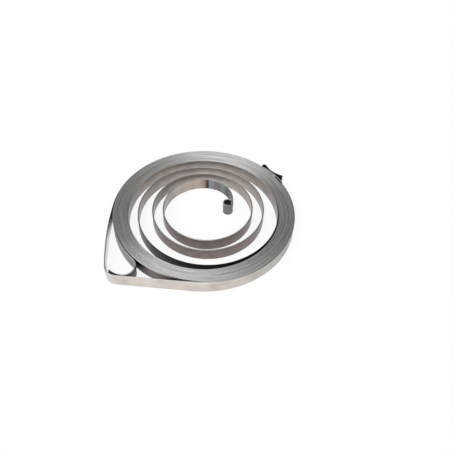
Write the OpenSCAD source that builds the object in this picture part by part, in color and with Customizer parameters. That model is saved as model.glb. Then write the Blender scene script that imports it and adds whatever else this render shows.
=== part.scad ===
// Recoil starter spring: a flat coil of spring steel strip, kept wound by a band of the same strip.
// Millimetres, seen from above with X to the right, Y to the back and Z up.
// Both strips stand on their lower edges at z = 0. Bends are arcs of the strip's middle line.

/* [Strip] */

// Rolled width of the strip, which stands upright
strip_height = 5.5; // [4:0.1:8]
// Thickness of the spring strip
strip_thickness = 0.5; // [0.4:0.05:0.6]

/* [Eye] */

// Bore of the rolled eye at the inner end, which drops over the pulley's post
eye_bore = 3.4; // [2.6:0.1:4]
// How far round the eye is rolled
eye_sweep = 310; // [280:5:310]
// Length of the straight shank between the neck and the eye
shank_length = 2.6; // [1:0.1:6]
// Bend radius of the neck between the first free turn and the shank
neck_radius = 12.1; // [10:0.1:14]

/* [Free turns] */

// Bend radius of the innermost free quarter turn
first_radius = 17.65; // [17:0.05:19]
// Growth of the bend radius from the first quarter turn to the second
growth = 0.88; // [0.8:0.02:1]
// How much more the bend radius grows from each quarter turn to the next
growth_gain = 0.092; // [0.08:0.002:0.11]
// How much further the free turns lean to the back at each quarter turn, as a share of their growth
lean = 0.072; // [0.04:0.002:0.08]

/* [Wound stack] */

// Whole turns in the tight stack, which ends with a half turn more
stack_turns = 11; // [8:1:13]
// Gap between one turn of the stack and the next
turn_gap = 0.06; // [0.04:0.01:0.1]

/* [Hook] */

// How much wider than the stack the tongue is bent, which opens a gap beside it
tongue_ease = 1.6; // [1:0.2:2.6]
// How far round the tongue runs past the left side before the U bend
tongue_sweep = 42.5; // [40:0.5:46]
// Bend radius of the U bend
hook_radius = 4.6; // [4:0.1:5]
// Bend radius of the leg that comes back from the U bend
return_radius = 8; // [7:0.5:10]
// Gap between the hook's tip and the band
tip_gap = 0.5; // [0.1:0.1:0.8]

/* [Band] */

// Thickness of the band
band_thickness = 0.5; // [0.4:0.05:0.6]
// Clearance between the band and the spring inside it
band_clearance = 0.05; // [0.05:0.01:0.1]
// Bend radius of the corner that goes round the hook
corner_radius = 5.4; // [5:0.1:5.6]
// Distance along the front leg from the U bend to the corner
corner_run = 1.9; // [1.8:0.1:3]
// Bend radius of the long left leg
left_leg_radius = 140; // [100:10:200]

/* [Lap and tab] */

// Angle from the right side at which the inner end of the band stops
tuck_angle = 33; // [30:1:36]
// Angle from the right side at which the outer end starts to step out over it
step_angle = 24; // [16:1:26]
// Bend radius of the step
step_radius = 1.5; // [1:0.1:2]
// Clearance between the layers of the lap, and between the lap and the tab
lap_clearance = 0.05; // [0.05:0.01:0.1]
// Angle from the right side at which the outer end is folded back
fold_angle = 45; // [42:0.5:52]
// Bend radius of the fold
fold_radius = 0.75; // [0.6:0.05:1]
// Bend radius of the tab, which curves away from the coil
tab_radius = 12; // [10:1:18]
// How far the tab flares out past the place where it comes nearest to the lap
tab_flare = 30; // [16:1:36]

/* [Hidden] */

$fn = 144;
chord_error = 0.012;

quarter = 90;
back = 90;
front = 270;

// The free turns have 11 quarter turns and end at the right side, where the stack begins.
free_quarters = 11;
lean_side = [0, -1, 0, 1];

// The stack ends at the left side, where the tongue leaves it.
stack_quarters = 4 * stack_turns + 2;
pitch = strip_thickness + turn_gap;
stack_start = free_radius(free_quarters);
stack_end = stack_radius(stack_quarters - 1);

// The bends of the spring, from the start of the stack outwards and inwards
stack_bends = [for (k = [0 : stack_quarters - 1]) [stack_radius(k), quarter]];
inward_bends = concat(
    [for (i = [free_quarters - 1 : -1 : 0]) [free_radius(i), -quarter]], [[neck_radius, -quarter]]
);
stack_joint = [stack_start, 0];
stack_path = path(stack_bends, stack_joint, back);
inward_path = path(inward_bends, stack_joint, front);
shank_start = path_end(inward_path);
eye_radius = (eye_bore + strip_thickness) / 2;
eye_path = path([[eye_radius, -eye_sweep]], shank_start - [0, shank_length], front);

// The last three quarter turns of the stack carry the band: front right, back right and back left.
front_arc = stack_path[stack_quarters - 3];
right_arc = stack_path[stack_quarters - 2];
left_arc = stack_path[stack_quarters - 1];
band_stand = (strip_thickness + band_thickness) / 2 + band_clearance;
front_radius = front_arc[1] + band_stand;
right_radius = right_arc[1] + band_stand;
left_radius = left_arc[1] + band_stand;

// The front leg is the line that touches the U bend and the front of the stack.
tongue_path = path([[stack_end + tongue_ease, tongue_sweep]], path_end(stack_path), front);
tongue_end = path_end(tongue_path);
tongue_heading = front + tongue_sweep;
hook_centre = tongue_end + hook_radius * [sin(tongue_heading), -cos(tongue_heading)];
hook_wrap = hook_radius + band_stand;
hook_span = norm(front_arc[0] - hook_centre);
leg_heading = direction(front_arc[0] - hook_centre) - asin((front_radius - hook_wrap) / hook_span);
leg_along = [cos(leg_heading), sin(leg_heading)];
leg_outward = [sin(leg_heading), -cos(leg_heading)];
leg_length = corner_run + sqrt(hook_span ^ 2 - (front_radius - hook_wrap) ^ 2);

// The left leg is an arc that touches the back of the stack and the corner from outside.
corner_centre = hook_centre + (hook_wrap - corner_radius) * leg_outward - corner_run * leg_along;
corner_span = norm(corner_centre - left_arc[0]);
left_leg_centre = left_arc[0] + (left_leg_radius - left_radius)
    * heading_vector(direction(corner_centre - left_arc[0])
        + corner(left_leg_radius - left_radius, corner_span, left_leg_radius - corner_radius));
leave_angle = turn_of(direction(left_arc[0] - left_leg_centre));
corner_angle = turn_of(direction(corner_centre - left_leg_centre));

// The hook turns until it runs back along the front leg, and its tip stops short of the corner.
hook_sweep = tongue_heading - (leg_heading + 180);
return_start = hook_centre + hook_radius * leg_outward;
return_centre = return_start - return_radius * leg_outward;
tip_reach = return_radius + strip_thickness / 2;
tip_limit = corner_radius - band_thickness / 2 - tip_gap;
tip_span = norm(corner_centre - return_centre);
tip_angle = turn_of(direction(corner_centre - return_centre) - corner(tip_reach, tip_span, tip_limit));
return_sweep = leg_heading + 270 - tip_angle;
hook_path = path(
    [[hook_radius, -hook_sweep], [return_radius, -return_sweep]], tongue_end, tongue_heading
);

// The outer end of the band steps out over the inner end by one thickness.
lap_radius = right_radius + band_thickness + lap_clearance;
step_turn = corner(right_radius + step_radius, 2 * step_radius, lap_radius - step_radius);
step_advance = corner(right_radius + step_radius, lap_radius - step_radius, 2 * step_radius);

// Past the fold the tab dips to the lap and flares away again.
fold_reach = lap_radius + fold_radius;
tab_reach = lap_radius + band_thickness + lap_clearance + tab_radius;
fold_turn = corner(fold_reach, fold_radius + tab_radius, tab_reach);
tab_dip = corner(tab_reach, fold_radius + tab_radius, fold_reach);

inner_end_bends = [
    [right_radius, back - tuck_angle],
    [left_radius, leave_angle - back],
    [left_leg_radius, corner_angle - leave_angle],
    [corner_radius, leg_heading + 270 - corner_angle]
];
outer_end_bends = [
    [front_radius, 90 - leg_heading],
    [right_radius, step_angle],
    [step_radius, -step_turn],
    [step_radius, step_turn + step_advance],
    [lap_radius, fold_angle - step_angle - step_advance],
    [fold_radius, -(360 - fold_turn)],
    [tab_radius, tab_dip + tab_flare]
];
tuck_end = right_arc[0] + right_radius * heading_vector(tuck_angle);
leg_start = corner_centre + corner_radius * leg_outward;
inner_end_path = path(inner_end_bends, tuck_end, tuck_angle + 90);
outer_end_path = path(outer_end_bends, leg_start + leg_length * leg_along, leg_heading);

// The part's middle, so that the origin lies under the centre of its outline
low_x = left_leg_centre[0] - left_leg_radius;
high_x = right_arc[0][0] + right_radius;
low_y = front_arc[0][1] - front_radius;
high_y = right_arc[0][1] + right_radius;
middle = [(low_x + high_x) / 2, (low_y + high_y) / 2, 0];

// Bend radius of one quarter turn of the free turns, counted from the innermost
function free_radius(i) = i == 0 ? first_radius
    : neat(free_radius(i - 1) + quarter_growth(i - 1) * (1 + lean * (i - 1) * lean_side[(i - 1) % 4]));
function quarter_growth(i) = growth + growth_gain * i;

// Quarter turns are set to a thousandth of a millimetre, so that each ends just where the next begins.
function neat(x) = round(x * 1000) / 1000;

// Bend radius of one quarter turn of the stack, counted from its start
function stack_radius(k) = stack_start + k * pitch / 4;

function heading_vector(a) = [cos(a), sin(a)];
function direction(v) = atan2(v[1], v[0]);
function turn_of(a) = (a + 360) % 360;

// Angle of a triangle between its sides a and b, opposite its side c
function corner(a, b, c) = acos((a ^ 2 + b ^ 2 - c ^ 2) / (2 * a * b));

// Turns a list of bends, each a radius and a sweep, into arcs that run on from one another.
// A positive sweep turns left. An arc is its centre, radius, start angle and sweep.
function path(bends, start, heading, i = 0) = i == len(bends) ? []
    : let (
        radius = bends[i][0],
        sweep = bends[i][1],
        centre = start + sign(sweep) * radius * [-sin(heading), cos(heading)],
        arc = [centre, radius, heading - 90 * sign(sweep), sweep]
    )
    concat([arc], path(bends, arc_end(arc), heading + sweep, i + 1));

function arc_end(arc) = arc[0] + arc[1] * heading_vector(arc[2] + arc[3]);
function path_end(arcs) = arc_end(arcs[len(arcs) - 1]);

// One side of a strip along its arcs, in chords that stay within chord_error of the round
function chords(arc) = ceil(abs(arc[3]) / (2 * acos(1 - chord_error / arc[1])));
function arc_point(arc, side, share) =
    arc[0] + (arc[1] - sign(arc[3]) * side) * heading_vector(arc[2] + share * arc[3]);
function strip_side(arcs, side) = concat(
    [for (arc = arcs) for (j = [0 : chords(arc) - 1]) arc_point(arc, side, j / chords(arc))],
    [arc_point(arcs[len(arcs) - 1], side, 1)]
);
function reversed(points) = [for (i = [len(points) - 1 : -1 : 0]) points[i]];

// One bend of the spring, standing on its edge
module bent_strip(arc) {
    translate(arc[0])
        rotate(arc[2])
            mirror([0, arc[3] < 0 ? 1 : 0, 0])
                rotate_extrude(angle = abs(arc[3]))
                    translate([arc[1] - strip_thickness / 2, 0])
                        square([strip_thickness, strip_height]);
}

// A strip between the points of its left side and those of its right side
module upright_strip(left_side, right_side) {
    linear_extrude(strip_height)
        polygon(concat(left_side, reversed(right_side)));
}

module eye() {
    translate(shank_start - [strip_thickness / 2, shank_length])
        cube([strip_thickness, shank_length, strip_height]);
    bent_strip(eye_path[0]);
}

module hook() {
    arcs = concat(tongue_path, hook_path);
    half = strip_thickness / 2;
    upright_strip(strip_side(arcs, half), strip_side(arcs, -half));
}

// The spring: eye, neck, free turns, stack, tongue and hook in one strip
module spring_strip() {
    color("Silver")
        translate(-middle) {
            eye();
            for (arc = concat(inward_path, stack_path))
                bent_strip(arc);
            hook();
        }
}

// The band: inner end, left leg, corner, front leg, lap and tab in one strip
module retaining_band() {
    half = band_thickness / 2;
    left_side = concat(strip_side(inner_end_path, half), strip_side(outer_end_path, half));
    right_side = concat(strip_side(inner_end_path, -half), strip_side(outer_end_path, -half));
    color("LightSteelBlue")
        translate(-middle)
            upright_strip(left_side, right_side);
}

spring_strip();
retaining_band();
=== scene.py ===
"""Recoil starter spring: a flat coil of spring steel strip, kept wound by a band of bright steel strip.

The two strips are swept again here along the bends of the part's solids, with the rounded edges of rolled
strip, so that lines, tints, wear and painted light and shade can run along them. Sizes are millimetres until
a mesh is made.
"""
from math import acos, asin, atan2, ceil, cos, degrees, hypot, radians, sin, sqrt

import bpy
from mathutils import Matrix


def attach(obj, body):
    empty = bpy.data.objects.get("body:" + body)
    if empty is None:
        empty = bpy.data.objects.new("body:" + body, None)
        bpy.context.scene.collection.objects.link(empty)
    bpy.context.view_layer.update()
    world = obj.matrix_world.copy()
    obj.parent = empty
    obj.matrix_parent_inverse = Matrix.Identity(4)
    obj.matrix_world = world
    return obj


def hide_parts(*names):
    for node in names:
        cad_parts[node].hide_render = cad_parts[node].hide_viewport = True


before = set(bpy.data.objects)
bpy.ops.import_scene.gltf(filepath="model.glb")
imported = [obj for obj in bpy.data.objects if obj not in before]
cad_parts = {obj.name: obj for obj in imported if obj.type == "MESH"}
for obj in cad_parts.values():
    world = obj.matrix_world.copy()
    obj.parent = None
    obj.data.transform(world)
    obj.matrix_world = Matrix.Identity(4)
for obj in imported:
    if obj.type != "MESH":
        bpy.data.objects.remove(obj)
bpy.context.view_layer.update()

MM = 0.001

# Sizes of the strips and their bends, the same as in the part's source
STRIP_HEIGHT = 5.5
STRIP_THICKNESS = 0.5
EYE_BORE = 3.4
EYE_SWEEP = 310
SHANK_LENGTH = 2.6
NECK_RADIUS = 12.1
FIRST_RADIUS = 17.65
GROWTH = 0.88
GROWTH_GAIN = 0.092
LEAN = 0.072
LEAN_SIDE = (0, -1, 0, 1)
FREE_QUARTERS = 11
STACK_QUARTERS = 46
TURN_GAP = 0.06
TONGUE_EASE = 1.6
TONGUE_SWEEP = 42.5
HOOK_RADIUS = 4.6
RETURN_RADIUS = 8
TIP_GAP = 0.5
BAND_THICKNESS = 0.5
BAND_CLEARANCE = 0.05
CORNER_RADIUS = 5.4
CORNER_RUN = 1.9
LEFT_LEG_RADIUS = 140
TUCK_ANGLE = 33
STEP_ANGLE = 24
STEP_RADIUS = 1.5
LAP_CLEARANCE = 0.05
FOLD_ANGLE = 45
FOLD_RADIUS = 0.75
TAB_RADIUS = 12
TAB_FLARE = 30
BACK, FRONT = 90, 270

# Rolled strip has rounded edges, and its bends are drawn in chords that stay this close to the round.
EDGE_ROUND = 0.1
EDGE_STEPS = 4
EDGE_HOLD = 0.12
CHORD_ERROR = 0.004

# The map of a strip: its rows, the gap between them, the room beside and above them, and its two cut ends
SPRING_MAP_ROWS, BAND_MAP_ROWS = 16, 5
MAP_MARGIN = 1
MAP_ROW_GAP = 0.4
MAP_ROOM_BESIDE, MAP_ROOM_ABOVE = 12, 8
CUT_END_INSET = 2
FIRST_END_RISE, LAST_END_RISE = 2, 4


# Bends of the strips

def plus(a, b, share=1.0):
    return (a[0] + share * b[0], a[1] + share * b[1])


def minus(a, b):
    return plus(a, b, -1.0)


def towards(angle):
    return (cos(radians(angle)), sin(radians(angle)))


def direction(v):
    return degrees(atan2(v[1], v[0]))


def corner_between(a, b, c):
    """Angle of a triangle between its sides a and b, opposite its side c."""
    return degrees(acos((a * a + b * b - c * c) / (2 * a * b)))


def run_bends(bends, start, heading):
    """Arcs that run on from one another. A bend is a radius and a sweep, and a positive sweep turns left."""
    arcs = []
    for radius, sweep in bends:
        side = 1 if sweep > 0 else -1
        centre = plus(start, towards(heading + 90), side * radius)
        arcs.append((centre, radius, heading - 90 * side, sweep))
        start = arc_end(arcs[-1])
        heading += sweep
    return arcs


def arc_end(arc):
    centre, radius, begin, sweep = arc
    return plus(centre, towards(begin + sweep), radius)


def free_radii():
    """Bend radii of the free quarter turns, from the innermost to the one where the stack begins."""
    radii = [FIRST_RADIUS]
    for i in range(FREE_QUARTERS):
        growth = GROWTH + GROWTH_GAIN * i
        radii.append(round(radii[-1] + growth * (1 + LEAN * i * LEAN_SIDE[i % 4]), 3))
    return radii


FREE_RADII = free_radii()
STACK_START = FREE_RADII[FREE_QUARTERS]
QUARTER_PITCH = (STRIP_THICKNESS + TURN_GAP) / 4
STACK_END = STACK_START + (STACK_QUARTERS - 1) * QUARTER_PITCH
STACK_JOINT = (STACK_START, 0.0)
stack_arcs = run_bends(
    [(STACK_START + k * QUARTER_PITCH, 90) for k in range(STACK_QUARTERS)], STACK_JOINT, BACK
)
inward_arcs = run_bends(
    [(r, -90) for r in reversed(FREE_RADII[:FREE_QUARTERS])] + [(NECK_RADIUS, -90)], STACK_JOINT, FRONT
)
shank_start = arc_end(inward_arcs[-1])
shank_end = plus(shank_start, (0, -SHANK_LENGTH))
eye_arcs = run_bends([((EYE_BORE + STRIP_THICKNESS) / 2, -EYE_SWEEP)], shank_end, FRONT)

# The last three quarter turns of the stack carry the band.
front_arc, right_arc, left_arc = stack_arcs[-3:]
BAND_STAND = (STRIP_THICKNESS + BAND_THICKNESS) / 2 + BAND_CLEARANCE
FRONT_RADIUS, RIGHT_RADIUS, LEFT_RADIUS = (arc[1] + BAND_STAND for arc in (front_arc, right_arc, left_arc))

# The tongue, and the front leg of the band, which touches the U bend and the front of the stack
tongue_arcs = run_bends([(STACK_END + TONGUE_EASE, TONGUE_SWEEP)], arc_end(stack_arcs[-1]), FRONT)
tongue_end = arc_end(tongue_arcs[-1])
tongue_heading = FRONT + TONGUE_SWEEP
hook_centre = plus(tongue_end, towards(tongue_heading - 90), HOOK_RADIUS)
hook_wrap = HOOK_RADIUS + BAND_STAND
hook_to_front = minus(front_arc[0], hook_centre)
hook_span = hypot(*hook_to_front)
leg_heading = direction(hook_to_front) - degrees(asin((FRONT_RADIUS - hook_wrap) / hook_span))
leg_along = towards(leg_heading)
leg_outward = towards(leg_heading - 90)
leg_length = CORNER_RUN + sqrt(hook_span ** 2 - (FRONT_RADIUS - hook_wrap) ** 2)

# The corner, and the left leg of the band, which touches the corner and the back of the stack
corner_centre = plus(plus(hook_centre, leg_outward, hook_wrap - CORNER_RADIUS), leg_along, -CORNER_RUN)
left_to_corner = minus(corner_centre, left_arc[0])
left_leg_reach = LEFT_LEG_RADIUS - LEFT_RADIUS
left_leg_turn = corner_between(left_leg_reach, hypot(*left_to_corner), LEFT_LEG_RADIUS - CORNER_RADIUS)
left_leg_centre = plus(left_arc[0], towards(direction(left_to_corner) + left_leg_turn), left_leg_reach)
leave_angle = direction(minus(left_arc[0], left_leg_centre)) % 360
corner_angle = direction(minus(corner_centre, left_leg_centre)) % 360

# The hook turns back along the front leg, and its tip stops short of the corner.
hook_sweep = tongue_heading - (leg_heading + 180)
return_centre = plus(hook_centre, leg_outward, HOOK_RADIUS - RETURN_RADIUS)
return_to_corner = minus(corner_centre, return_centre)
tip_reach = RETURN_RADIUS + STRIP_THICKNESS / 2
tip_limit = CORNER_RADIUS - BAND_THICKNESS / 2 - TIP_GAP
tip_turn = corner_between(tip_reach, hypot(*return_to_corner), tip_limit)
tip_angle = (direction(return_to_corner) - tip_turn) % 360
return_sweep = leg_heading + 270 - tip_angle
hook_arcs = run_bends(
    [(HOOK_RADIUS, -hook_sweep), (RETURN_RADIUS, -return_sweep)], tongue_end, tongue_heading
)

# The lap of the band's ends, and the fold and the flared tab of the outer one
lap_radius = RIGHT_RADIUS + BAND_THICKNESS + LAP_CLEARANCE
step_turn = corner_between(RIGHT_RADIUS + STEP_RADIUS, 2 * STEP_RADIUS, lap_radius - STEP_RADIUS)
step_advance = corner_between(RIGHT_RADIUS + STEP_RADIUS, lap_radius - STEP_RADIUS, 2 * STEP_RADIUS)
fold_reach = lap_radius + FOLD_RADIUS
tab_reach = lap_radius + BAND_THICKNESS + LAP_CLEARANCE + TAB_RADIUS
fold_turn = corner_between(fold_reach, FOLD_RADIUS + TAB_RADIUS, tab_reach)
tab_dip = corner_between(tab_reach, FOLD_RADIUS + TAB_RADIUS, fold_reach)
leg_start = plus(corner_centre, leg_outward, CORNER_RADIUS)
leg_end = plus(leg_start, leg_along, leg_length)
band_inner_arcs = run_bends(
    [
        (RIGHT_RADIUS, BACK - TUCK_ANGLE),
        (LEFT_RADIUS, leave_angle - BACK),
        (LEFT_LEG_RADIUS, corner_angle - leave_angle),
        (CORNER_RADIUS, leg_heading + 270 - corner_angle),
    ],
    plus(right_arc[0], towards(TUCK_ANGLE), RIGHT_RADIUS),
    TUCK_ANGLE + 90,
)
band_outer_arcs = run_bends(
    [
        (FRONT_RADIUS, 90 - leg_heading),
        (RIGHT_RADIUS, STEP_ANGLE),
        (STEP_RADIUS, -step_turn),
        (STEP_RADIUS, step_turn + step_advance),
        (lap_radius, FOLD_ANGLE - STEP_ANGLE - step_advance),
        (FOLD_RADIUS, fold_turn - 360),
        (TAB_RADIUS, tab_dip + TAB_FLARE),
    ],
    leg_end,
    leg_heading,
)

# The coil's centre stands off the origin, which lies under the middle of the outline.
MIDDLE = (
    (left_leg_centre[0] - LEFT_LEG_RADIUS + right_arc[0][0] + RIGHT_RADIUS) / 2,
    (front_arc[0][1] - FRONT_RADIUS + right_arc[0][1] + RIGHT_RADIUS) / 2,
)


# Strips as meshes

def stations(arcs):
    """Places along some arcs, each a point and the direction of travel there, in degrees."""
    places = []
    for centre, radius, begin, sweep in arcs:
        quarter_turn = 90 if sweep > 0 else -90
        steps = ceil(abs(sweep) / degrees(2 * acos(1 - CHORD_ERROR / radius)))
        for k in range(steps + 1):
            if k == 0 and places:
                continue
            angle = begin + sweep * k / steps
            places.append((plus(centre, towards(angle), radius), angle + quarter_turn))
    return places


def turned_back(places):
    return [(place, heading + 180) for place, heading in reversed(places)]


def lengths_along(places):
    """Length of a strip from its first place to each of its places."""
    lengths = [0.0]
    for (a, _), (b, _) in zip(places, places[1:]):
        lengths.append(lengths[-1] + hypot(*minus(b, a)))
    return lengths


def strip_section(thickness):
    """A strip's section as (across, up), from the right face round below, up the left face and over."""
    half = thickness / 2
    flat = half - EDGE_ROUND
    low, high = EDGE_ROUND, STRIP_HEIGHT - EDGE_ROUND
    section = []
    for across, up, begin in ((-flat, low, 180), (flat, low, 270), (flat, high, 0), (-flat, high, 90)):
        for k in range(EDGE_STEPS + 1):
            section.append(plus((across, up), towards(begin + 90 * k / EDGE_STEPS), EDGE_ROUND))
    # One more row of points at each end of a face keeps the shading of the face flat.
    left_foot = 2 * (EDGE_STEPS + 1)
    left_face = [(half, low + EDGE_HOLD), (half, high - EDGE_HOLD)]
    held = section[:left_foot] + left_face + section[left_foot:]
    return [(-half, low + EDGE_HOLD)] + held + [(-half, high - EDGE_HOLD)]


def lay_out_map(mesh, section, lengths, rows):
    """Lays a strip out on its map in rows, one above the other, with its cut ends above them."""
    around = len(section)
    rim = [0.0]
    for k in range(around):
        rim.append(rim[-1] + hypot(*minus(section[(k + 1) % around], section[k])))
    row_length = lengths[-1] / rows
    row_height = rim[-1] + MAP_ROW_GAP
    side = max(row_length + MAP_ROOM_BESIDE, rows * row_height + MAP_ROOM_ABOVE)
    uv = []
    for i in range(len(lengths) - 1):
        row = min(int(lengths[i] / row_length), rows - 1)
        left, foot = MAP_MARGIN - row * row_length, MAP_MARGIN + row * row_height
        for k in range(around):
            for along, edge in ((i, k), (i, k + 1), (i + 1, k + 1), (i + 1, k)):
                uv += [(lengths[along] + left) / side, (rim[edge] + foot) / side]
    for rise, order in ((FIRST_END_RISE, reversed(section)), (LAST_END_RISE, section)):
        for across, up in order:
            uv += [(up + CUT_END_INSET) / side, (rows * row_height + rise + across) / side]
    mesh.uv_layers.new(name="OFBake").data.foreach_set("uv", uv)


def sweep_strip(name, places, thickness, map_rows):
    """A strip along its places. Each point keeps its length along the strip, its height and its side."""
    section = strip_section(thickness)
    around = len(section)
    lengths = lengths_along(places)
    points, strip_place = [], []
    for (place, heading), length in zip(places, lengths):
        left = towards(heading + 90)
        for across, up in section:
            x, y = minus(plus(place, left, across), MIDDLE)
            points.append((x * MM, y * MM, up * MM))
            strip_place += [length * MM, up * MM, 2 * across / thickness]
    faces = []
    for i in range(len(places) - 1):
        for k in range(around):
            a, b = i * around + k, i * around + (k + 1) % around
            faces.append((a, b, b + around, a + around))
    last = (len(places) - 1) * around
    cut_ends = [tuple(reversed(range(around))), tuple(range(last, last + around))]
    mesh = bpy.data.meshes.new(name)
    mesh.from_pydata(points, [], faces + cut_ends)
    mesh.polygons.foreach_set("use_smooth", [True] * len(faces) + [False] * len(cut_ends))
    kept = mesh.attributes.new("strip_place", "FLOAT_VECTOR", "POINT")
    kept.data.foreach_set("vector", strip_place)
    lay_out_map(mesh, section, lengths, map_rows)
    mesh.validate()
    piece = bpy.data.objects.new(name, mesh)
    bpy.context.scene.collection.objects.link(piece)
    return piece


inner_end = stations(inward_arcs) + [(shank_end, FRONT)] + stations(eye_arcs)[1:]
spring_places = turned_back(inner_end) + stations(stack_arcs + tongue_arcs + hook_arcs)[1:]
band_places = stations(band_inner_arcs) + stations(band_outer_arcs)
spring = sweep_strip("wound_spring", spring_places, STRIP_THICKNESS, SPRING_MAP_ROWS)
band = sweep_strip("retaining_strip", band_places, BAND_THICKNESS, BAND_MAP_ROWS)


# Finishes

# Noise lies mostly between these two levels.
NOISE_SPREAD = {"From Min": 0.3, "From Max": 0.7}

# Least and most brightness, as shares: clouds on the faces, rubbed stretches of the edges, and rolling lines
CLOUDED = {"To Min": 0.86, "To Max": 1.12}
RUBBED = {"To Min": 0.65, "To Max": 1.35}
LINED = {"To Min": 0.92, "To Max": 1.08}

# How fine each pattern is, and how much it changes from one side of the strip to the other
LINE_DETAIL, LINE_CHANGE = 3.0, 3.0
CLOUD_DETAIL, CLOUD_CHANGE = 4.0, 0.7
RUB_DETAIL = 3.0

# Each turn's edge is rubbed more in some stretches than in others, 30 mm long or so.
RUBS_PER_METRE = 33.0

# Sides run from -1 on the outer face to 1 on the inner one. The faces blend, and give way to the edge, here.
FACE_BLEND = {"From Min": -0.5, "From Max": 0.5}
EDGE_BLEND = {"From Min": 1.0, "From Max": 0.85}

# Faces are smoother than rubbed edges, both are uneven along the lines, and the lines give the steel a grain.
FACE_ROUGHNESS, EDGE_ROUGHNESS = 0.3, 0.46
UNEVEN = {"To Min": -0.05, "To Max": 0.05}
LINE_DEPTH, LINE_RELIEF = 0.004, 0.2
GRAIN, GRAIN_TURN = 0.8, 0.25


def linear(hex_colour):
    """An sRGB colour such as "c8b4a0" as linear red, green, blue and 1."""
    parts = [int(hex_colour[k:k + 2], 16) / 255 for k in (0, 2, 4)]
    return [p / 12.92 if p <= 0.04045 else ((p + 0.055) / 1.055) ** 2.4 for p in parts] + [1.0]


def add(tree, kind, inputs=None, stops=None, **settings):
    """Adds a node with its settings. An input is a value or a node's output, and stops colour a ramp."""
    made = tree.nodes.new("ShaderNode" + kind)
    for name, value in settings.items():
        setattr(made, name, value)
    for socket, value in (inputs or {}).items():
        if isinstance(value, bpy.types.NodeSocket):
            tree.links.new(value, made.inputs[socket])
        else:
            made.inputs[socket].default_value = value
    if stops:
        ramp = made.color_ramp.elements
        while len(ramp) < len(stops):
            ramp.new(1.0)
        for element, (place, colour) in zip(ramp, stops):
            element.position = place
            element.color = linear(colour)
    return made


def new_material(name):
    material = bpy.data.materials.new(name)
    material.use_nodes = True
    material.node_tree.nodes.clear()
    return material, material.node_tree


def by_length(tree, along, *runs):
    """A colour for each place along a strip. Runs of stops, at lengths in millimetres, follow one another."""
    colour = None
    for stops in runs:
        start, end = stops[0][0], stops[-1][0]
        reach = {"Value": along, "From Min": start * MM, "From Max": end * MM}
        share = add(tree, "MapRange", reach).outputs[0]
        places = [((mm - start) / (end - start), tint) for mm, tint in stops]
        ramp = add(tree, "ValToRGB", {0: share}, stops=places).outputs[0]
        if colour:
            reached = add(tree, "Math", {0: along, 1: start * MM}, operation="GREATER_THAN").outputs[0]
            ramp = add(tree, "Mix", {0: reached, 6: colour, 7: ramp}, data_type="RGBA").outputs[2]
        colour = ramp
    return colour


def rolled_steel(tree, place, side, outer_face, inner_face, edges, line_spacing, line_run, cloud_size):
    """Bright rolled strip: lines along its length, clouds on its faces and rubbed edges."""
    line_scale = (1 / line_run / MM, 1 / line_spacing / MM, LINE_CHANGE)
    line_place = add(tree, "VectorMath", {0: place, 1: line_scale}, operation="MULTIPLY").outputs[0]
    lines = add(tree, "TexNoise", {"Vector": line_place, "Scale": 1.0, "Detail": LINE_DETAIL}).outputs["Fac"]
    cloud_scale = (1 / cloud_size / MM, 1 / cloud_size / MM, CLOUD_CHANGE)
    cloud_place = add(tree, "VectorMath", {0: place, 1: cloud_scale}, operation="MULTIPLY").outputs[0]
    cloud_noise = {"Vector": cloud_place, "Scale": 1.0, "Detail": CLOUD_DETAIL}
    clouds = add(tree, "TexNoise", cloud_noise).outputs["Fac"]
    rub_scale = (RUBS_PER_METRE, 0.0, 0.0)
    rub_place = add(tree, "VectorMath", {0: place, 1: rub_scale}, operation="MULTIPLY").outputs[0]
    rubs = add(tree, "TexNoise", {"Vector": rub_place, "Scale": 1.0, "Detail": RUB_DETAIL}).outputs["Fac"]

    facing = add(tree, "MapRange", {**FACE_BLEND, "Value": side}).outputs[0]
    face = add(tree, "Mix", {0: facing, 6: outer_face, 7: inner_face}, data_type="RGBA").outputs[2]
    clouded = add(tree, "MapRange", {**NOISE_SPREAD, **CLOUDED, "Value": clouds}).outputs[0]
    face = add(tree, "VectorMath", {0: face, "Scale": clouded}, operation="SCALE").outputs[0]
    rubbed = add(tree, "MapRange", {**NOISE_SPREAD, **RUBBED, "Value": rubs}).outputs[0]
    edge = add(tree, "VectorMath", {0: edges, "Scale": rubbed}, operation="SCALE").outputs[0]
    off_middle = add(tree, "Math", {0: side}, operation="ABSOLUTE").outputs[0]
    on_edge = add(tree, "MapRange", {**EDGE_BLEND, "Value": off_middle}).outputs[0]
    colour = add(tree, "Mix", {0: on_edge, 6: face, 7: edge}, data_type="RGBA").outputs[2]
    lined = add(tree, "MapRange", {**NOISE_SPREAD, **LINED, "Value": lines}).outputs[0]
    colour = add(tree, "VectorMath", {0: colour, "Scale": lined}, operation="SCALE").outputs[0]

    dull = add(tree, "Mix", {0: on_edge, 2: FACE_ROUGHNESS, 3: EDGE_ROUGHNESS}, data_type="FLOAT").outputs[0]
    uneven = add(tree, "MapRange", {**NOISE_SPREAD, **UNEVEN, "Value": lines}).outputs[0]
    roughness = add(tree, "Math", {0: dull, 1: uneven}, operation="ADD").outputs[0]
    depth = LINE_DEPTH * MM
    relief = add(tree, "Bump", {"Height": lines, "Strength": LINE_RELIEF, "Distance": depth}).outputs[0]
    grain = add(tree, "Tangent", direction_type="UV_MAP", uv_map="OFBake").outputs[0]
    steel = add(tree, "BsdfPrincipled", {
        "Base Color": colour, "Metallic": 1.0, "Roughness": roughness, "Anisotropic": GRAIN,
        "Anisotropic Rotation": GRAIN_TURN, "Normal": relief, "Tangent": grain,
    })
    add(tree, "OutputMaterial", {"Surface": steel.outputs[0]})


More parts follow.
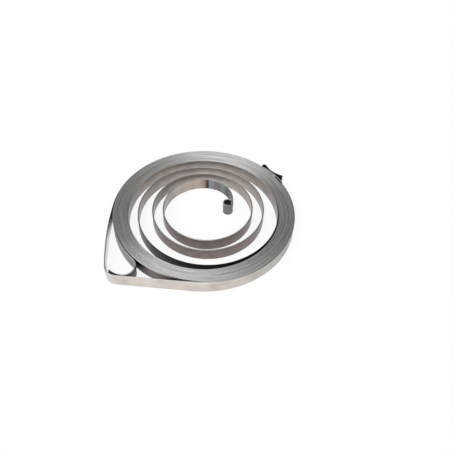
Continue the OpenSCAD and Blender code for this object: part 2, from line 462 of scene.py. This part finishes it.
def spring_steel():
    """Hardened and tempered spring steel, cold rolled bright. The eye sees grey brown faces with fine rolling
    lines along the strip, slightly cloudy, greyer rubbed edges, and temper colours where the inner end was
    heated."""
    material, tree = new_material("tempered_spring_steel")
    place = add(tree, "Attribute", attribute_name="strip_place").outputs["Vector"]
    parts = add(tree, "SeparateXYZ", {0: place}).outputs
    length = lengths_along(spring_places)[-1]
    # From the dark inside of the eye through grey, green, violet and blue to a brown line, then straw and
    # grey. Each free turn and the first of the stack are painted lighter at the back of the coil and darker
    # at its left side, as painted light and shade. The hook's end is painted darker, as shade behind the
    # band's front leg.
    inner_face = by_length(
        tree, parts["X"],
        (
            (0, "3a3633"), (9, "3a3633"), (11, "585553"), (20, "565452"), (23, "7e8f87"), (25, "7a7476"),
            (27, "7a7579"), (28.5, "84888f"), (30, "878d95"), (30.4, "453d38"), (31.2, "574e48"),
            (32, "998a7f"), (35, "b3a59a"), (45, "b2aaa4"), (50, "9d9590"),
        ),
        (
            (50, "9d9590"), (60, "aaa29d"), (130, "aaa29c"), (152, "c8beb8"), (174, "86807c"),
            (200, "a19a94"), (270, "a49c96"), (298, "c6bcb6"), (330, "938c87"), (440, "9c9590"),
            (452, "908984"), (480, "b0a8a2"), (500, "aaa29c"), (530, "8c8681"), (560, "9a938e"),
        ),
        ((560, "9a938e"), (2720, "9a938e")),
        ((2720, "9a938e"), (2970, "9a938e"), (2986, "938b84"), (2990, "564e4b"), (length, "4c4542")),
    )
    # Brown grey on the free turns, painted darker than the inner faces as shade, and painted nearly black as
    # shade between the turns and beside the hook and the band's front leg
    outer_face = by_length(
        tree, parts["X"],
        (
            (0, "787877"), (14, "787877"), (40, "7a706d"), (200, "7a706d"), (225, "807673"), (300, "7d7370"),
            (335, "6a6260"), (352, "4a4441"), (362, "38332f"), (390, "3c3734"), (405, "2a2724"),
            (440, "1a1816"),
        ),
        ((440, "1a1816"), (2720, "221f1d")),
        (
            (2720, "221f1d"), (2753, "221f1d"), (2758, "756c67"), (2764, "756c67"), (2770, "3a3532"),
            (2775, "221f1d"), (2800, "3a3532"), (2830, "8c8480"), (2950, "8c8480"), (2962, "7f7e7d"),
            (length, "7f7e7d"),
        ),
    )
    # The edge is rubbed bright, and painted dark as shade on the outermost free turn, in a short stretch
    # beside the hook, and at the hook's tip.
    edges = by_length(
        tree, parts["X"],
        (
            (0, "b4b2b0"), (352, "b4b2b0"), (366, "4a4745"), (376, "2a2724"), (420, "1f1d1b"),
            (430, "3a3735"), (438, "8a8886"), (444, "d2d1d0"), (480, "d2d1d0"),
        ),
        ((480, "d2d1d0"), (2720, "d2d1d0")),
        (
            (2720, "d2d1d0"), (2762, "d2d1d0"), (2768, "5a5856"), (2774, "5a5856"), (2779, "d2d1d0"),
            (2996, "d2d1d0"), (3001, "4a4745"), (length, "2a2724"),
        ),
    )
    # The lines are drawn this coarse to show.
    rolled_steel(
        tree, place, parts["Z"], outer_face, inner_face, edges, line_spacing=0.35, line_run=40, cloud_size=3
    )
    return material


def band_steel():
    """Soft packing steel strip, rolled bright. The eye sees a pale, faintly warm satin face with long lines.
    Painted light makes it paler at the corner, and painted shade makes it greyer towards the lap and black on
    the folded end."""
    material, tree = new_material("bright_packing_steel")
    place = add(tree, "Attribute", attribute_name="strip_place").outputs["Vector"]
    parts = add(tree, "SeparateXYZ", {0: place}).outputs
    length = lengths_along(band_places)[-1]
    # Painted light and shade: paler at the corner and along the front leg, greyer round the right side, and
    # nearly black on the lap and the tab.
    outer_face = by_length(tree, parts["X"], (
        (0, "aaa8a6"), (90, "b4b1ad"), (118, "dcdad8"), (133, "d8d6d4"), (139, "d4ccc4"), (180, "d2cac2"),
        (198, "bab7af"), (207, "a6a49c"), (225, "969594"), (245, "8a8886"), (256, "4a4745"), (260, "504f4e"),
        (length, "4a4948"),
    ))
    # A painted reflection makes the left leg nearly white inside. Painted shade darkens the corner, the lap
    # and the tab.
    inner_face = by_length(tree, parts["X"], (
        (0, "aaa8a6"), (90, "c4c2bf"), (104, "ecebe9"), (126, "ecebe9"), (130, "6a6765"), (140, "b4b1ad"),
        (245, "8a8886"), (256, "4a4745"), (260, "434241"), (length, "3a3938"),
    ))
    # The edge is painted dark as shade where the strip leaves the coil, and at its folded end.
    edges = by_length(tree, parts["X"], (
        (0, "d2d1d0"), (88, "d2d1d0"), (95, "353332"), (104, "4a4846"), (112, "a8a7a6"), (120, "d2d1d0"),
        (252, "c0bfbe"), (257, "a09f9d"), (260, "4a4745"), (263, "2a2928"), (length, "262524"),
    ))
    # The lines are drawn this coarse to show.
    rolled_steel(
        tree, place, parts["Z"], outer_face, inner_face, edges, line_spacing=0.5, line_run=50, cloud_size=6
    )
    return material


spring.data.materials.append(spring_steel())
band.data.materials.append(band_steel())
dressed = ((spring, "spring_strip", "spring_steel"), (band, "retaining_band", "band_steel"))
for piece, solid, finish in dressed:
    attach(piece, "root")
    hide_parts(solid)


# Floor, light and camera

# The floor is a round of paper, swept up at its rim, that lies just clear of the strips' edges. In metres.
FLOOR_RADIUS = 3.0
SWEEP_RADIUS = 0.8
SWEEP_STEPS = 8
FLOOR_SIDES = 48
FLOOR_HEIGHT = -0.02 * MM
FLOOR_WHITE = 0.86


def white_floor():
    """Matt white paper. It glows white to the camera and in the metal, and keeps part of the real shadow."""
    material, tree = new_material("matt_white_paper")
    rays = add(tree, "LightPath").outputs
    seen = add(tree, "Math", {0: rays["Is Camera Ray"], 1: rays["Is Glossy Ray"]}, operation="ADD").outputs[0]
    seen = add(
        tree, "Math", {0: seen, 1: rays["Is Transmission Ray"]}, operation="ADD", use_clamp=True
    ).outputs[0]
    share = add(tree, "Math", {0: seen, 1: FLOOR_WHITE}, operation="MULTIPLY").outputs[0]
    paper = add(tree, "BsdfDiffuse", {"Color": linear("f7f7f7")}).outputs[0]
    white = add(tree, "Emission", {"Color": linear("ffffff"), "Strength": 1.0}).outputs[0]
    mixed = add(tree, "MixShader", {0: share, 1: paper, 2: white}).outputs[0]
    add(tree, "OutputMaterial", {"Surface": mixed})
    return material


def floor_points():
    points = []
    for k in range(SWEEP_STEPS + 1):
        across, up = towards(90 * k / SWEEP_STEPS - 90)
        for n in range(FLOOR_SIDES):
            x, y = towards(360 * n / FLOOR_SIDES)
            radius = FLOOR_RADIUS + SWEEP_RADIUS * across
            points.append((x * radius, y * radius, FLOOR_HEIGHT + SWEEP_RADIUS * (1 + up)))
    return points


def floor_faces():
    faces = [tuple(range(FLOOR_SIDES))]
    for k in range(SWEEP_STEPS):
        for n in range(FLOOR_SIDES):
            a, b = k * FLOOR_SIDES + n, k * FLOOR_SIDES + (n + 1) % FLOOR_SIDES
            faces.append((a, a + FLOOR_SIDES, b + FLOOR_SIDES, b))
    return faces


floor_mesh = bpy.data.meshes.new("floor")
floor_mesh.from_pydata(floor_points(), [], floor_faces())
floor = bpy.data.objects.new("floor", floor_mesh)
bpy.context.scene.collection.objects.link(floor)
floor.data.materials.append(white_floor())


# Soft lamps in the room: the way to each, half angles of its core and its edge in degrees, and its strength
LAMPS = (
    ((-0.35, -0.32, 0.88), 5, 50, 2.3),
    ((0.64, -0.45, 0.63), 5, 50, 0.6),
)
ROOM_STRENGTH = 0.25
HORIZON_FRONT, HORIZON_BACK = 1.5, 0.35
HORIZON_HEIGHTS = (0.25, 0.6)


def studio_light():
    """A large soft lamp at the upper left and a weak one at the right, in a dull room with a pale horizon."""
    world = bpy.data.worlds.new("soft_studio")
    world.use_nodes = True
    tree = world.node_tree
    tree.nodes.clear()
    way = add(tree, "TexCoord").outputs["Generated"]
    light = ROOM_STRENGTH
    for lamp_way, core, edge, lamp_strength in LAMPS:
        nearness = add(tree, "VectorMath", {0: way, 1: lamp_way}, operation="DOT_PRODUCT").outputs["Value"]
        glow = add(tree, "MapRange", {
            "Value": nearness, "From Min": cos(radians(edge)), "From Max": cos(radians(core)),
            "To Max": lamp_strength,
        }, interpolation_type="SMOOTHSTEP").outputs[0]
        light = add(tree, "Math", {0: light, 1: glow}, operation="ADD").outputs[0]
    parts = add(tree, "SeparateXYZ", {0: way}).outputs
    low, high = HORIZON_HEIGHTS
    rise = add(tree, "MapRange", {"Value": parts["Z"], "From Min": low, "From Max": high}).outputs[0]
    horizon = add(tree, "MapRange", {
        "Value": parts["Y"], "From Min": -1.0, "From Max": 1.0,
        "To Min": HORIZON_FRONT, "To Max": HORIZON_BACK,
    }).outputs[0]
    strength = add(tree, "Mix", {0: rise, 2: horizon, 3: light}, data_type="FLOAT").outputs[0]
    sky = add(tree, "Background", {"Color": linear("ffffff"), "Strength": strength}).outputs[0]
    add(tree, "OutputWorld", {"Surface": sky})
    bpy.context.scene.world = world


studio_light()

# The camera is 233 mm from the coil's centre and 47 degrees up. The centre stands left of the image's middle.
CAMERA_RISE = 46.93
CAMERA_DISTANCE = 232.85
FOCAL_PIXELS = 538.2
IMAGE_PIXELS = 452
CENTRE_PIXEL = (203.32, 218.4)
SENSOR = 36.0
NEAREST_SEEN = 10
camera_data = bpy.data.cameras.new("camera")
camera_data.sensor_width = SENSOR
camera_data.lens = SENSOR * FOCAL_PIXELS / IMAGE_PIXELS
camera_data.shift_x = (IMAGE_PIXELS / 2 - CENTRE_PIXEL[0]) / IMAGE_PIXELS
camera_data.shift_y = (CENTRE_PIXEL[1] - IMAGE_PIXELS / 2) / IMAGE_PIXELS
camera_data.clip_start = NEAREST_SEEN * MM
camera = bpy.data.objects.new("camera", camera_data)
camera.location = (
    -MIDDLE[0] * MM,
    (-MIDDLE[1] - CAMERA_DISTANCE * cos(radians(CAMERA_RISE))) * MM,
    CAMERA_DISTANCE * sin(radians(CAMERA_RISE)) * MM,
)
camera.rotation_euler = (radians(90 - CAMERA_RISE), 0, 0)
bpy.context.scene.collection.objects.link(camera)
bpy.context.scene.camera = camera
bpy.context.scene.view_settings.view_transform = "Standard"
